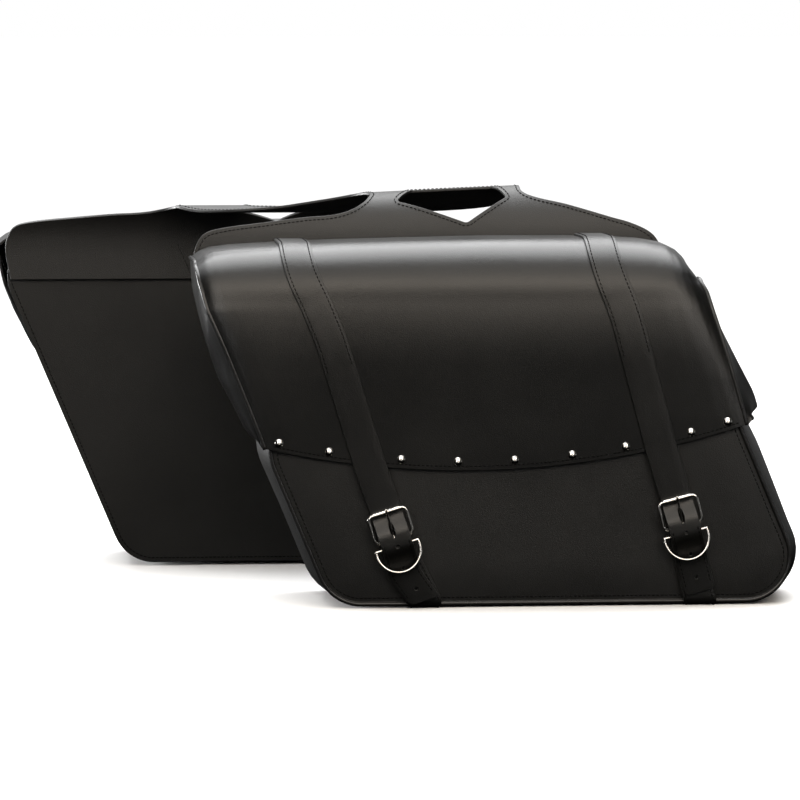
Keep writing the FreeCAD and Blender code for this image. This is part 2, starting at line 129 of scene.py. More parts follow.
# ---- Cutting a piece of leather ----------------------------------------------------------
# Every panel starts as a flat cut with clean outlines and punched holes, is then shaped over
# the bag, and has its real thickness and a rounded, painted edge.
MM = 0.001
BOARD_LEAD = 0.118        # the base board starts this far ahead of the bag's middle
EDGE_ROUND = 0.6
EDGE_ANGLE = 55           # degrees; folds flatter than this are not rounded
SLIVER = 0.02             # twice the smallest triangle kept in a cut, in square millimetres


def bag_origin(side):
    """Where a bag's middle and its back panel's outer face are in the row frame."""
    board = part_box(side + "_base_board")
    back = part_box(side + "_back_panel")
    return board[0][0] + BOARD_LEAD, back[1][1] if side == "left" else back[0][1]


ORIGIN = {side: bag_origin(side) for side in ("left", "right")}


def place(side, points):
    """(x, depth, z) in millimetres in a bag -> the row frame, in metres."""
    points = np.asarray(points, float).reshape(-1, 3) * MM
    x0, y0 = ORIGIN[side]
    out = -1 if side == "left" else 1
    return np.column_stack([points[:, 0] + x0, y0 + out * points[:, 1], points[:, 2]])


def rounded_loop(corners, pitch, closed=True):
    """Points along straight edges with rounded corners; corners are (u, v, radius)."""
    count = len(corners)
    bends = []
    for i, (u, v, radius) in enumerate(corners):
        here = np.array([u, v], float)
        if radius == 0 or (not closed and i in (0, count - 1)):
            bends.append([here])
            continue
        back = np.array(corners[i - 1][:2], float) - here
        ahead = np.array(corners[(i + 1) % count][:2], float) - here
        back /= np.linalg.norm(back)
        ahead /= np.linalg.norm(ahead)
        half = math.acos(np.clip(back @ ahead, -1, 1)) / 2
        middle = (back + ahead) / np.linalg.norm(back + ahead)
        centre = here + middle * radius / math.sin(half)
        start = here + back * radius / math.tan(half) - centre
        end = here + ahead * radius / math.tan(half) - centre
        turn = math.atan2(start[0] * end[1] - start[1] * end[0], start @ end)
        steps = max(3, math.ceil(abs(turn) * radius / pitch))
        arc = []
        for k in range(steps + 1):
            c, s = math.cos(turn * k / steps), math.sin(turn * k / steps)
            arc.append(centre + [c * start[0] - s * start[1], s * start[0] + c * start[1]])
        bends.append(arc)
    loop = []
    for i, arc in enumerate(bends):
        loop += arc
        if closed or i < count - 1:
            a, b = arc[-1], bends[(i + 1) % count][0]
            pieces = max(1, round(np.linalg.norm(b - a) / pitch))
            loop += [a + (b - a) * k / pieces for k in range(1, pieces)]
    return np.array(loop)


def within(points, loop):
    """Which of the points lie inside the closed loop."""
    u, v = points.T
    odd = np.zeros(len(points), bool)
    for a, b in zip(loop, np.roll(loop, -1, axis=0)):
        if a[1] != b[1]:
            crosses = (a[1] > v) != (b[1] > v)
            odd ^= crosses & (u < a[0] + (v - a[1]) * (b[0] - a[0]) / (b[1] - a[1]))
    return odd


def cut_flat(outline, holes, pitch):
    """Points and triangles of a flat piece with holes punched in it."""
    loops = [outline] + list(holes)
    rim = np.concatenate(loops)
    low, high = outline.min(0), outline.max(0)
    grid = np.array(np.meshgrid(np.arange(low[0] + pitch / 2, high[0], pitch),
                                np.arange(low[1] + pitch / 2, high[1], pitch)))
    grid = grid.reshape(2, -1).T
    grid = grid[within(grid, outline)]
    for hole in holes:
        grid = grid[~within(grid, hole)]
    gap = np.array([np.min(np.hypot(*(rim - p).T)) for p in grid])
    grid = grid[gap > 0.55 * pitch]
    edges, first = [], 0
    for loop in loops:
        edges += [(first + i, first + (i + 1) % len(loop)) for i in range(len(loop))]
        first += len(loop)
    points = [Vector(p) for p in np.concatenate([rim, grid])]
    flat, _, triangles = delaunay_2d_cdt(points, edges, [], 0, 1e-5)[:3]
    flat, triangles = np.array(flat), np.array(triangles)
    centres = flat[triangles].mean(1)
    a, b, c = (flat[triangles[:, i]] for i in range(3))
    area = (b - a)[:, 0] * (c - a)[:, 1] - (b - a)[:, 1] * (c - a)[:, 0]
    kept = within(centres, outline) & (np.abs(area) > SLIVER)
    for hole in holes:
        kept &= ~within(centres, hole)
    return flat, triangles[kept]


def add_piece(name, verts, faces, materials):
    """Smooth-shaded object in the scene with these points, faces and materials."""
    mesh = bpy.data.meshes.new(name)
    mesh.from_pydata(np.asarray(verts).tolist(), [], [list(map(int, f)) for f in faces])
    for material in materials:
        mesh.materials.append(material)
    mesh.polygons.foreach_set("use_smooth", [True] * len(mesh.polygons))
    mesh.update()
    piece = bpy.data.objects.new(name, mesh)
    bpy.context.scene.collection.objects.link(piece)
    return piece


def thicken(sheet, thickness, rounding):
    """Flesh side this far below the grain side, and a rounded, painted edge between them."""
    skin = sheet.modifiers.new("thickness", "SOLIDIFY")
    skin.thickness = thickness * MM
    skin.offset = -1
    skin.material_offset = 1
    skin.material_offset_rim = 2
    edge = sheet.modifiers.new("edge", "BEVEL")
    edge.width = rounding * MM
    edge.segments = 2
    edge.limit_method = "ANGLE"
    edge.angle_limit = math.radians(EDGE_ANGLE)
    edge.harden_normals = True
    edge.loop_slide = False


def leather_sheet(name, side, points, faces, core, thickness, grain):
    """Sheet whose grain side has these points and faces away from the core point."""
    verts = place(side, points)
    middle = place(side, core)[0]
    faces = np.asarray(faces)
    a, b, c = (verts[faces[:, i]] for i in range(3))
    if np.sum(np.cross(b - a, c - a) * ((a + b + c) / 3 - middle)) < 0:
        faces = faces[:, ::-1]
    sheet = add_piece(name, verts, faces, [grain, FLESH, PAINTED_EDGE])
    thicken(sheet, thickness, EDGE_ROUND)
    return sheet


def grid_faces(rows, columns):
    """Four-cornered faces of a rows x columns net of points, numbered row by row."""
    r, c = np.meshgrid(np.arange(rows - 1), np.arange(columns - 1), indexing="ij")
    first = (r * columns + c).ravel()
    return np.column_stack([first, first + 1, first + columns + 1, first + columns])


def tube_faces(rings, sides, first=0):
    """Side faces of a tube through rings of points, which are numbered ring by ring."""
    faces = []
    for lower in range(first, first + (rings - 1) * sides, sides):
        for i in range(sides):
            j = (i + 1) % sides
            faces.append((lower + i, lower + j, lower + sides + j, lower + sides + i))
    return faces


def lengths_along(line):
    """Distance along a line of points from its start to each of its points."""
    steps = np.linalg.norm(np.diff(line, axis=0), axis=1)
    return np.concatenate([[0], np.cumsum(steps)])


def read_off(values, reach, stops):
    """Rows of values, given at the distances reach, read off at the distances stops."""
    return np.column_stack([np.interp(stops, reach, column) for column in values.T])


def even(line, count):
    """The same line through evenly spaced points."""
    reach = lengths_along(line)
    return read_off(line, reach, np.linspace(0, reach[-1], count))


def unit(vectors):
    return vectors / np.linalg.norm(vectors, axis=1, keepdims=True)


# ---- Waxed thread ------------------------------------------------------------------------
# Seams are saddle-stitched with thick black waxed thread. Each stitch lies on the leather and
# dives into it at both ends.
STITCH_PITCH = 4.4
STITCH_LENGTH = 3.3
THREAD_R = 0.5
# a stitch's rings: place along half its length, height in mm and share of the thread's radius
STITCH = ((-1.0, -0.45, 0.7), (-0.72, 0.12, 1.0), (0.0, 0.3, 1.05), (0.72, 0.12, 1.0),
          (1.0, -0.45, 0.7))
THREAD_SIDES = 6

THREAD = bpy.data.materials.new("waxed_thread")
THREAD.use_nodes = True
thread_tree = THREAD.node_tree
thread_shader = thread_tree.nodes["Principled BSDF"]
thread_shader.inputs["Base Color"].default_value = (0.003, 0.003, 0.003, 1)
thread_shader.inputs["Roughness"].default_value = 0.85
thread_shader.inputs["Specular IOR Level"].default_value = 0.12
twist = node(thread_tree, "TexWave", in_Scale=900.0, in_Distortion=1.5)
thread_tree.links.new(node(thread_tree, "TexCoord").outputs["Object"], twist.inputs["Vector"])
twist_bump = node(thread_tree, "Bump", in_Strength=0.5, in_Distance=0.0002)
thread_tree.links.new(twist.outputs["Fac"], twist_bump.inputs["Height"])
thread_tree.links.new(twist_bump.outputs["Normal"], thread_shader.inputs["Normal"])


def sew(name, side, rows):
    """Stitches along rows of (points, normals) on the leather's face, as one piece."""
    turns = np.arange(THREAD_SIDES) * 2 * math.pi / THREAD_SIDES
    verts, faces, count = [], [], 0
    for points, normals in rows:
        reach = lengths_along(points)
        stops = np.arange(STITCH_PITCH / 2, reach[-1], STITCH_PITCH)
        spot = read_off(points, reach, stops)
        centre = place(side, spot)
        run = unit(place(side, read_off(points, reach, stops + 0.5))
                   - place(side, read_off(points, reach, stops - 0.5)))
        up = place(side, spot + read_off(normals, reach, stops)) - centre
        up = unit(up - run * np.sum(up * run, axis=1, keepdims=True))
        for c, t, n, b in zip(centre, run, up, np.cross(run, up)):
            for share, height, width in STITCH:
                r = width * THREAD_R
                ring = (np.outer(height + r * np.cos(turns), n) + np.outer(r * np.sin(turns), b)
                        + t * share * STITCH_LENGTH / 2)
                verts.append(c + ring * MM)
            faces += tube_faces(len(STITCH), THREAD_SIDES, count)
            count += len(STITCH) * THREAD_SIDES
    return add_piece(name, np.concatenate(verts), faces, [THREAD])


def facing(line, out):
    """The line's points as a row to sew, all on leather that faces out (1) or inwards (-1)."""
    return line, np.tile((0, float(out), 0), (len(line), 1))


# ---- Back panels -------------------------------------------------------------------------
# Each back panel is one flat hide panel over a stiff board, dished a little, and its edge
# is sewn to the end walls.
LENGTH, DEPTH, BASE_Z, TOP_Z = 500.0, 150.0, 3.2, 356.0
SLANT, CORNER_R, REAR_TOP_R = 0.42, 45.0, 34.0
BACK_T, BACK_PITCH, SEAM_IN = 4.0, 8.0, 5.0
HEART = (0, 75, 170)      # a point inside each bag, which its sheets' grain sides face away from
LOW_X = -(LENGTH - SLANT * (TOP_Z - BASE_Z)) / 2
HIGH_X = LOW_X + LENGTH


def end_x(corner_x, z):
    """x of the slanted end that starts at this corner, at height z."""
    return corner_x - SLANT * (z - BASE_Z)


def inset(loop, amount, closed=True):
    """A loop of (u, v) points moved inwards; it runs against the clock or is turned first."""
    after, before = np.roll(loop, -1, axis=0), np.roll(loop, 1, axis=0)
    if not closed:
        after[-1], before[0] = loop[-1], loop[0]
    along = unit(after - before)
    left = np.column_stack([-along[:, 1], along[:, 0]])
    area = np.sum(loop[:, 0] * after[:, 1] - loop[:, 1] * after[:, 0])
    return loop + left * amount * (1 if area > 0 or not closed else -1)


for side in ("left", "right"):
    corners = [(LOW_X, BASE_Z, CORNER_R), (HIGH_X, BASE_Z, CORNER_R),
               (end_x(HIGH_X, TOP_Z), TOP_Z, REAR_TOP_R),
               (end_x(LOW_X, TOP_Z), TOP_Z, CORNER_R)]
    flat, triangles = cut_flat(rounded_loop(corners, 5), [], BACK_PITCH)
    x, z = flat.T
    dish = 1.2 * np.sin(x / 70 + 1) * np.sin(z / 55) - 0.6
    points = np.column_stack([x, dish * 0.6 + 0.4, z])
    panel = leather_sheet(side + "_back_leather", side, points, triangles, (0, 300, 170),
                          BACK_T, BODY_GRAIN)
    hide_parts(side + "_back_panel")
    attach(panel, side + "_bag")
    sewn = [corners[3], *corners[:3]]
    seam = inset(rounded_loop(sewn, 5, closed=False), SEAM_IN, closed=False)
    ring = np.column_stack([seam[:, 0], np.full(len(seam), -0.6), seam[:, 1]])
    thread = sew(side + "_back_seam", side, [facing(ring, -1)])
    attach(thread, side + "_bag")

# ---- End and base walls ------------------------------------------------------------------
# One long gusset runs down the front end, under the base and up the rear end. It is sewn to
# both panels, bulges a little between them and is open at the mouth under the lid.
MOUTH_Z = 305.0
UPRIGHT_Z, UPRIGHT_R = 150.0, 60.0    # from here up the front end stands upright
PANEL_T = 3.0
WALL_STEPS, WALL_DEPTHS = 150, 15
BULGE = {"left": (7.0, 13.0), "right": (1.5, 5.0)}
FRONT_TAPER, REAR_TAPER = 3.0, 11.0


def wall_line(share):
    """The bag's outline from the mouth at its front end round to the mouth at its rear end,
    at a share of the way from its back panel to its front panel."""
    low, high = LOW_X + FRONT_TAPER * share, HIGH_X - REAR_TAPER * share
    forward = end_x(low, UPRIGHT_Z)
    return rounded_loop([(forward, MOUTH_Z, 0), (forward, UPRIGHT_Z, UPRIGHT_R),
                         (low, BASE_Z, CORNER_R), (high, BASE_Z, CORNER_R),
                         (end_x(high, MOUTH_Z), MOUTH_Z, 0)], 3, closed=False)


def lean_back(z):
    """How far the bag's front leans back under the lid, towards its open mouth."""
    return np.interp(z, (225, 262, MOUTH_Z), (0, 2.0, 7.0))


for side in ("left", "right"):
    back = even(wall_line(0), WALL_STEPS)
    front = even(wall_line(1), WALL_STEPS)
    along = unit(np.gradient(back, axis=0))
    outwards = np.column_stack([along[:, 1], -along[:, 0]])
    forward_bulge, rear_bulge = BULGE[side]
    wall_share = np.clip(np.abs(outwards[:, 0]) * 1.3 - 0.3, 0, 1)
    wall_share *= np.where(outwards[:, 0] < 0, forward_bulge, rear_bulge)
    near_mouth = np.clip((MOUTH_Z - back[:, 1]) / 150, 0.2, 1)
    rows = []
    for share in np.linspace(0, 1, WALL_DEPTHS):
        ring = back + (front - back) * share
        swell = math.sin(math.pi * share) ** 0.7 * wall_share * near_mouth
        swell *= 1 + 0.08 * np.sin(back[:, 1] / 31 + share * 5)
        ring = ring + outwards * swell[:, None]
        depth = 0.6 + (DEPTH - 2.2 - lean_back(ring[:, 1])) * share
        rows.append(np.column_stack([ring[:, 0], depth, ring[:, 1]]))
    wall = leather_sheet(side + "_wall_leather", side, np.concatenate(rows),
                         grid_faces(WALL_DEPTHS, WALL_STEPS), HEART, PANEL_T, BODY_GRAIN)
    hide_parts(side + "_gusset")
    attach(wall, side + "_bag")

# ---- Front panels ------------------------------------------------------------------------
# The front panel is crowned: it is fullest in the middle and pulls in towards its sewn edge.
# Under the lid it ends in a plain cut edge at the mouth of the bag.
FRONT_PITCH = 7.0
CROWN_REACH, CROWN_HEIGHT = 42.0, 2.4    # the panel is full this far in from its edge

for side in ("left", "right"):
    outline = inset(wall_line(1), 1.0, closed=False)
    flat, triangles = cut_flat(outline, [], FRONT_PITCH)
    x, z = flat.T
    rim = np.array([np.min(np.hypot(*(outline - p).T)) for p in flat])
    fullness = np.sin(np.minimum(rim / CROWN_REACH, 1) * math.pi / 2)
    wave = 0.35 * np.sin(x / 57 + 0.6) * np.sin(z / 41 + 1.2) * fullness
    depth = DEPTH - 2.8 + CROWN_HEIGHT * fullness + wave - lean_back(z)
    panel = leather_sheet(side + "_front_leather", side, np.column_stack([x, depth, z]),
                          triangles, HEART, PANEL_T, BODY_GRAIN)
    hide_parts(side + "_front_panel")
    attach(panel, side + "_bag")

# ---- Piping ------------------------------------------------------------------------------
# A glossy leather piping filled with cord covers the seam round the front panel; the seam's
# thread shows as a row of stitches just inside it.
PIPE_R, PIPE_SIDES = 2.3, 12
PANEL_SEAM_IN, PANEL_SEAM_TOP = 6.5, 210.0


def pipe(name, side, line, radius, core):
    """Round bead along a line of local points."""
    verts = place(side, line)
    along = unit(np.gradient(verts, axis=0))
    out = verts - place(side, core)[0]
    out = unit(out - along * np.sum(out * along, axis=1, keepdims=True))
    beside = np.cross(along, out)
    turns = np.arange(PIPE_SIDES) * 2 * math.pi / PIPE_SIDES
    rings = np.concatenate([
        c + (np.outer(np.cos(turns), o) + np.outer(np.sin(turns), b)) * radius * MM
        for c, o, b in zip(verts, out, beside)])
    faces = tube_faces(len(verts), PIPE_SIDES)
    last = (len(verts) - 1) * PIPE_SIDES
    faces += [range(PIPE_SIDES - 1, -1, -1), range(last, last + PIPE_SIDES)]
    return add_piece(name, rings, faces, [PIPING])


for side in ("left", "right"):
    line = inset(wall_line(1), 0.4, closed=False)
    bead = np.column_stack([line[:, 0], DEPTH - 2.3 - lean_back(line[:, 1]), line[:, 1]])
    piping = pipe(side + "_front_piping", side, bead, PIPE_R, HEART)
    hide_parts(side + "_body_welt")
    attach(piping, side + "_bag")
    line = inset(wall_line(1), PANEL_SEAM_IN, closed=False)
    low = line[line[:, 1] < PANEL_SEAM_TOP]
    face = np.column_stack([low[:, 0], np.full(len(low), DEPTH - 2.2), low[:, 1]])
    thread = sew(side + "_front_seam", side, [facing(face, 1)])
    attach(thread, side + "_bag")

# ---- Lids --------------------------------------------------------------------------------
# The lid is one hide with the back panel: it bends along the bag's top, rolls over a soft
# shoulder and drops over the front. It sinks at both ends, where it is sewn to its end flaps.
LID_FLAT, SHOULDER_R = 89.0, 60.0
LID_TURN = SHOULDER_R * math.pi / 2
LID_EDGE = ((-240.0, 161.0), (-30.0, 138.0), (242.0, 181.0))
LID_ROWS, LID_COLUMNS = 90, 130
RUN = (0, 89, 127, 158, 177, 192, 227, 284, 322, 371)
FORWARD_END = {"left": (-306, -305, -305, -302, -298, -294, -279, -256, -241, -226),
               "right": (-311, -310, -306, -301, -293, -287, -266, -239, -222, -205)}
REAR_END = {side: (201, 199, 199, 201, 206, 209.5, 220, 236, 247, 262)
            for side in ("left", "right")}
HINGE_SPREAD, HINGE_Z = (6, 26), 366
LID_FACE = 155.0          # depth of the lid's front where it hangs straight
LID_T = 2.8
HEM = 4.5                 # the hem's stitches lie this far above the lower edge
# how far the lid sinks by distance from its ends, and how much of that is left by run
FRONT_SINK = ((0, 8, 17, 35, 60, 88, 150, 210, 300), (20, 14, 10.5, 8, 6.4, 5.0, 2.8, 1.5, 0))
REAR_SINK = ((0, 5, 12, 20, 30, 50, 87, 130), (42, 31, 19, 11.5, 6.5, 3, 0.7, 0))
SINK_LEFT = ((0, 110, 150, 190, 260), (1, 1, 0.55, 0.2, 0.0))
# the stitched ends pull the hide in, and the flat middle ripples a little
PULL = ((0, 5, 12, 26, 45), (4, 2.4, 1.2, 0.3, 0))
PULL_LEFT = ((100, 170, 260, 330), (0, 1, 1, 0.5))
RIPPLE, RIPPLE_LEFT = 0.55, ((40, 120, 300, 340), (0, 1, 1, 0))


def lid_end(run, ends):
    """x of one end of the lid at this run, the distance along it from its back edge."""
    return np.interp(run, RUN, ends)


def lid_edge_z(x):
    """Height of the lid's lower edge, an arc through the three points of LID_EDGE."""
    (x1, z1), (x2, z2), (x3, z3) = LID_EDGE
    twice = 2 * ((x2 - x1) * (z3 - z1) - (x3 - x1) * (z2 - z1))
    square = [px ** 2 + pz ** 2 for px, pz in LID_EDGE]
    a, b = square[1] - square[0], square[2] - square[0]
    cx = (a * (z3 - z1) - b * (z2 - z1)) / twice
    cz = ((x2 - x1) * b - (x3 - x1) * a) / twice
    return cz - np.sqrt((x1 - cx) ** 2 + (z1 - cz) ** 2 - (x - cx) ** 2)


LEAN_RUN = 62.0          # below the shoulder the front of the lid still leans back a little
LEAN = math.radians(11)
PROFILE_STEP = 0.5
PROFILE_START = (6, 365.5)    # depth and z of the lid's back edge
profile_run = np.arange(0.0, 420.0, PROFILE_STEP)
profile_turn = np.interp(profile_run, (0, LID_FLAT, LID_FLAT + LID_TURN - 10,
                                       LID_FLAT + LID_TURN + LEAN_RUN),
                         (math.radians(-1.6), 0, math.pi / 2 - LEAN, math.pi / 2))
outward = np.concatenate([[0], np.cumsum(np.cos(profile_turn[:-1]) * PROFILE_STEP)])
downward = np.concatenate([[0], np.cumsum(np.sin(profile_turn[:-1]) * PROFILE_STEP)])
profile_depth, profile_z = PROFILE_START[0] + outward, PROFILE_START[1] - downward
FALLING = profile_run >= 100.0    # from here on z only falls, so a run can be looked up by z


def lid_normal(run):
    """How far the lid faces outwards and upwards."""
    turn = np.interp(run, profile_run, profile_turn)
    return np.sin(turn), np.cos(turn)


def lid_at(side, x, run, rise=0.0):
    """Point on the lid: run millimetres along it from its back edge, and rise above it."""
    x, run = np.broadcast_arrays(np.asarray(x, float), np.asarray(run, float))
    out, up = lid_normal(run)
    depth = np.interp(run, profile_run, profile_depth)
    depth = depth + (LID_FACE - profile_depth[-1]) * np.clip(run / (LID_FLAT + LID_TURN), 0, 1)
    z = np.interp(run, profile_run, profile_z)
    from_front = x - lid_end(run, FORWARD_END[side])
    from_rear = lid_end(run, REAR_END[side]) - x
    hold = np.interp(run, *SINK_LEFT)
    sink = hold * np.interp(from_front, *FRONT_SINK) + hold * np.interp(from_rear, *REAR_SINK)
    pull = np.interp(np.minimum(from_front, from_rear), *PULL) * np.interp(run, *PULL_LEFT)
    ripple = RIPPLE * np.sin(x / 83 + run / 61) * np.sin(run / 47 + 0.4)
    lift = rise - sink - pull + ripple * np.interp(run, *RIPPLE_LEFT)
    return np.stack([x, depth + out * lift, z + up * lift], axis=-1)


def run_at_z(z):
    """Run at which the lid's front comes down to this height."""
    return np.interp(-z, -profile_z[FALLING], profile_run[FALLING])


def across_lid(side, run, share):
    """x at a share of the way from the lid's front end to its rear end."""
    return lid_end(run, FORWARD_END[side]) * (1 - share) + lid_end(run, REAR_END[side]) * share


def lid_last_run(side, share):
    """(x, run) on the lid's lower edge, at a share of the way from its front to its rear end."""
    x = -240 + 480 * share
    for _ in range(6):
        run = run_at_z(lid_edge_z(x))
        x = across_lid(side, run, share)
    return x, run


def lid_rows(side):
    """Net of points on the lid, closer together towards its two ends."""
    share = 0.5 - 0.5 * np.cos(np.linspace(0, math.pi, LID_COLUMNS))
    share = 0.6 * share + 0.4 * np.linspace(0, 1, LID_COLUMNS)
    last = lid_last_run(side, share)[1]
    rows = []
    for part in np.linspace(0, 1, LID_ROWS):
        run = last * part
        rows.append(lid_at(side, across_lid(side, run, share), run))
    return np.array(rows)


def blend_at_hinge(piece, side):
    """Bakes the piece's placement into its points; the hinge line's ends are found but not used.
    """
    start, end = place(side, [(0, depth, HINGE_Z) for depth in HINGE_SPREAD])
    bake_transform(piece)


for side in ("left", "right"):
    rows = lid_rows(side)
    top = leather_sheet(side + "_lid_leather", side, rows.reshape(-1, 3),
                        grid_faces(LID_ROWS, LID_COLUMNS), HEART, LID_T, LID_GRAIN)
    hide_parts(side + "_lid")
    blend_at_hinge(top, side)
    share = np.linspace(0.012, 0.988, 160)
    x, run = lid_last_run(side, share)
    hem = lid_at(side, x, run - HEM)
    thread = sew(side + "_lid_hem", side, [facing(hem, 1)])
    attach(thread, side + "_lid")

# ---- Lid piping --------------------------------------------------------------------------
# The same glossy piping runs along both ends of the lid, from the hinge to the lower edge. It
# sits a little outside each end and below the grain side.
LID_PIPE_OUT, LID_PIPE_RISE = 1.6, -1.2


def lid_end_line(side, ends, shift, rise, count=110, start=14):
    """Points down one end of the lid, moved by shift along x and by rise off the grain side."""
    share = 0.0 if ends is FORWARD_END else 1.0
    last = lid_last_run(side, np.array([share]))[1][0]
    run = np.linspace(start, last, count)
    x = lid_end(run, ends[side])
    return lid_at(side, x, run, rise) + [shift, 0, 0]


for side in ("left", "right"):
    for place_name, ends, shift in (("front", FORWARD_END, -LID_PIPE_OUT),
                                    ("rear", REAR_END, LID_PIPE_OUT)):
        line = lid_end_line(side, ends, shift, LID_PIPE_RISE)
        bead = pipe(side + "_lid_piping_" + place_name, side, line, PIPE_R, HEART)
        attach(bead, side + "_lid")
    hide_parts(side + "_lid_welt")
    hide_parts(side + "_lid_welt")

# ---- End flaps ---------------------------------------------------------------------------
# A flap of the same hide closes each end of the lid. It hangs from the piping, stands a little
# off the bag and flares towards the back, and its lower corner is rounded.
FLAP_ROWS, FLAP_COLUMNS = 22, 60
FLAP_T, FLAP_RISE = 2.4, -2.0
# back and lip: depth and z of the lower edge at its two ends; z and x: where the flap hangs;
# drawn: how far its lower corner is drawn towards the bag's middle
FLAPS = {
    "front": {"ends": FORWARD_END, "shift": -2.5, "back": (26, 246), "lip": (149, 166),
              "z": (160, 203, 228, 274, 314, 346, 366),
              "x": (-248, -266, -279, -294, -302, -305, -307), "round": -2.0, "flare": 50,
              "drawn": {"left": 0, "right": 20}},
    "rear": {"ends": REAR_END, "shift": 2.5, "back": (26, 236), "lip": (149, 189),
             "z": (180, 195, 215, 242, 278, 310, 340),
             "x": (254, 261, 255, 244, 230, 216, 205), "round": 2.0, "flare": 26,
             "drawn": {"left": 0, "right": 0}},
}

for side in ("left", "right"):
    for place_name, flap in FLAPS.items():
        top = lid_end_line(side, flap["ends"], flap["shift"], FLAP_RISE, FLAP_COLUMNS, 16)
        share = np.linspace(0, 1, FLAP_COLUMNS)
        bow = np.sin(share * math.pi)
        d1 = flap["back"][0] + (flap["lip"][0] - flap["back"][0]) * share ** 0.9
        z1 = flap["back"][1] + (flap["lip"][1] - flap["back"][1]) * share - 3 * bow
        z1 = z1 + 14 * (1 - np.minimum(share / 0.12, 1)) ** 2
        x1 = np.interp(z1, flap["z"], flap["x"])
        rows = []
        for down in np.linspace(0, 1, FLAP_ROWS):
            z = top[:, 2] + (z1 - top[:, 2]) * down
            depth = top[:, 1] + (d1 - top[:, 1]) * down
            target = (np.interp(z, flap["z"], flap["x"])
                      + np.interp(z, (180, 300), (flap["drawn"][side], 0)))
            flare = np.clip((150 - depth) / flap["flare"], 0, 1) ** 0.7
            mix = np.sin(down * math.pi / 2) * flare
            straight = top[:, 0] + (x1 - top[:, 0]) * down * 0.25
            x = straight + (target - straight) * mix
            x = x + flap["round"] * math.sin(down * math.pi)
            rows.append(np.column_stack([x, depth, z]))
        sheet = leather_sheet(side + "_lid_flap_" + place_name + "_leather", side,
                              np.concatenate(rows), grid_faces(FLAP_ROWS, FLAP_COLUMNS),
                              HEART, FLAP_T, LID_GRAIN)
        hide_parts(side + "_lid_flap_" + place_name)
        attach(sheet, side + "_lid")

# ---- Closing straps ----------------------------------------------------------------------
# Two 32 mm straps are sewn along both edges over the lid. Below it each runs under the
# buckle's roller, lets the tongue through, and hangs down through the D-ring to its tail.
STRAP_W, STRAP_T, HEEL_D = 32.0, 2.8, 160.1
STRAPS = {
    "front": {"over": (-207, -207, -206, -201, -191, -183, -174), "foot": -136,
              "heel": (-111, 71), "tail": -80, "end_z": 7, "tilt": math.radians(17.5),
              "sewn": 236},
    "rear": {"over": (101, 101, 102, 107, 115, 122, 128), "foot": 157,
             "heel": (180, 81), "tail": 198, "end_z": 13, "tilt": math.radians(14.5),
             "sewn": 226},
}
OVER_RUN = (17, 110, 135, 160, 180, 200, 222)    # the runs at which "over" gives the x
# (rise, out) of the strap's middle above and in front of the buckle's heel bar
WOVEN = ((28, -1.7), (22, -1.2), (15, 2.6), (8, 6.6), (2, 7.6), (-11, 7.4), (-25, 1.2),
         (-38, -2))
HEEL_OUT = 7.6
TONGUE_SLOT = (-11.5, 18, 4.8)    # from the heel bar, long, wide
SPARE_HOLES, HOLE_D = (7, 32, 57), 3.6
STRAP_SEAM_IN = 3.2


def smooth_run(points, step):
    """Catmull-Rom curve through the points, evenly sampled."""
    p = np.vstack([2 * points[0] - points[1], points, 2 * points[-1] - points[-2]])
    fine = []
    for a, b, c, d in zip(p[:-3], p[1:-2], p[2:-1], p[3:]):
        t = np.linspace(0, 1, 12, endpoint=False)[:, None]
        fine.append(0.5 * (2 * b + (c - a) * t + (2 * a - 5 * b + 4 * c - d) * t ** 2
                           + (3 * b - a - 3 * c + d) * t ** 3))
    fine = np.vstack(fine + [points[-1:]])
    length = np.sum(np.linalg.norm(np.diff(fine, axis=0), axis=1))
    return even(fine, max(2, round(length / step)))


def strap_sheet(name, side, run, across, width, holes, end_round, grain, thickness=STRAP_T):
    """Strap along a run of points; across is its direction of width at each point."""
    across = unit(across)
    out = np.cross(across, unit(np.gradient(run, axis=0)))
    if np.sum(out * (run - HEART)) < 0:
        out = -out
    reach = lengths_along(run)
    half = width / 2
    corners = [(0, -half, 0), (reach[-1], -half, end_round), (reach[-1], half, end_round),
               (0, half, 0)]
    flat, triangles = cut_flat(rounded_loop(corners, 3), holes, 3.6)

    def fold(u, v):
        """(u, v) on the flat strap -> points in the bag and the way they face."""
        upwards = read_off(out, reach, u)
        edge_drop = 0.5 * (np.abs(v) / half) ** 6
        points = (read_off(run, reach, u) + read_off(across, reach, u) * v[:, None]
                  - upwards * edge_drop[:, None])
        return points, upwards

    points = fold(*flat.T)[0]
    return leather_sheet(name, side, points, triangles, HEART, thickness, grain), fold, reach[-1]


def punched(u, v, long, wide):
    """Oval hole in a strap."""
    turns = np.arange(12) * math.pi / 6
    return np.column_stack([u + long / 2 * np.cos(turns), v + wide / 2 * np.sin(turns)])


def on_buckle(spec, rise, out):
    """Point above and in front of a buckle's heel bar, along the tilt of its strap."""
    return np.array([spec["heel"][0] - rise * math.sin(spec["tilt"]), HEEL_D + out,
                     spec["heel"][1] + rise * math.cos(spec["tilt"])])


